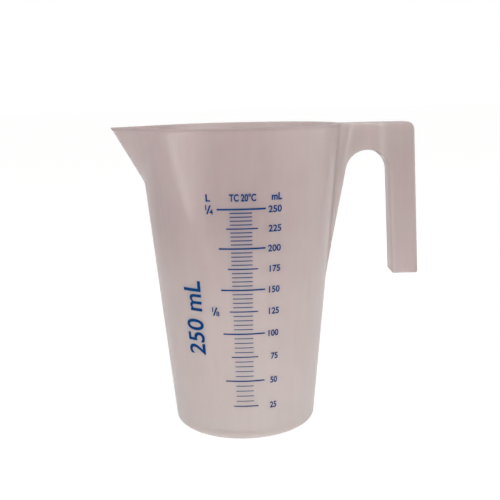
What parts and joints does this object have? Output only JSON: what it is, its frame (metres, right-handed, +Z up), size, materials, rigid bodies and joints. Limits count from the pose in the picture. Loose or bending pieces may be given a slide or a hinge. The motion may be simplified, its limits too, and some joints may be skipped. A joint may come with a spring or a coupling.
{
  "type": "measuring beaker",
  "caption": "Tapered translucent plastic measuring beaker with a pouring spout, a hollow hook handle open at the bottom and a blue printed volume scale.",
  "frame": {"origin": "centre of the foot ring's standing face, on the cup's axis", "axes": "+Z up along the cup's axis; the handle points along +X, the spout along -X and the printed scale faces -Y"},
  "size_m": [0.1168, 0.0768, 0.1152],
  "materials": {
    "polypropylene": "translucent, smooth moulded",
    "blue_ink": "screen-printed ink"
  },
  "bodies": {
    "root": {"cup_floor": "polypropylene", "foot_ring": "polypropylene", "cup_wall": "polypropylene", "spout": "polypropylene", "rim_lip": "polypropylene", "handle_front_cheek": "polypropylene", "handle_back_cheek": "polypropylene", "handle_top_wall": "polypropylene", "grip_outer_wall": "polypropylene", "grip_finger_wall": "polypropylene", "handle_rib": "polypropylene", "scale_long_lines": "blue_ink", "scale_medium_lines": "blue_ink", "scale_short_lines": "blue_ink", "scale_numbers": "blue_ink", "scale_fractions": "blue_ink", "scale_headings": "blue_ink", "capacity_mark": "blue_ink"}
  },
  "joints": []
}
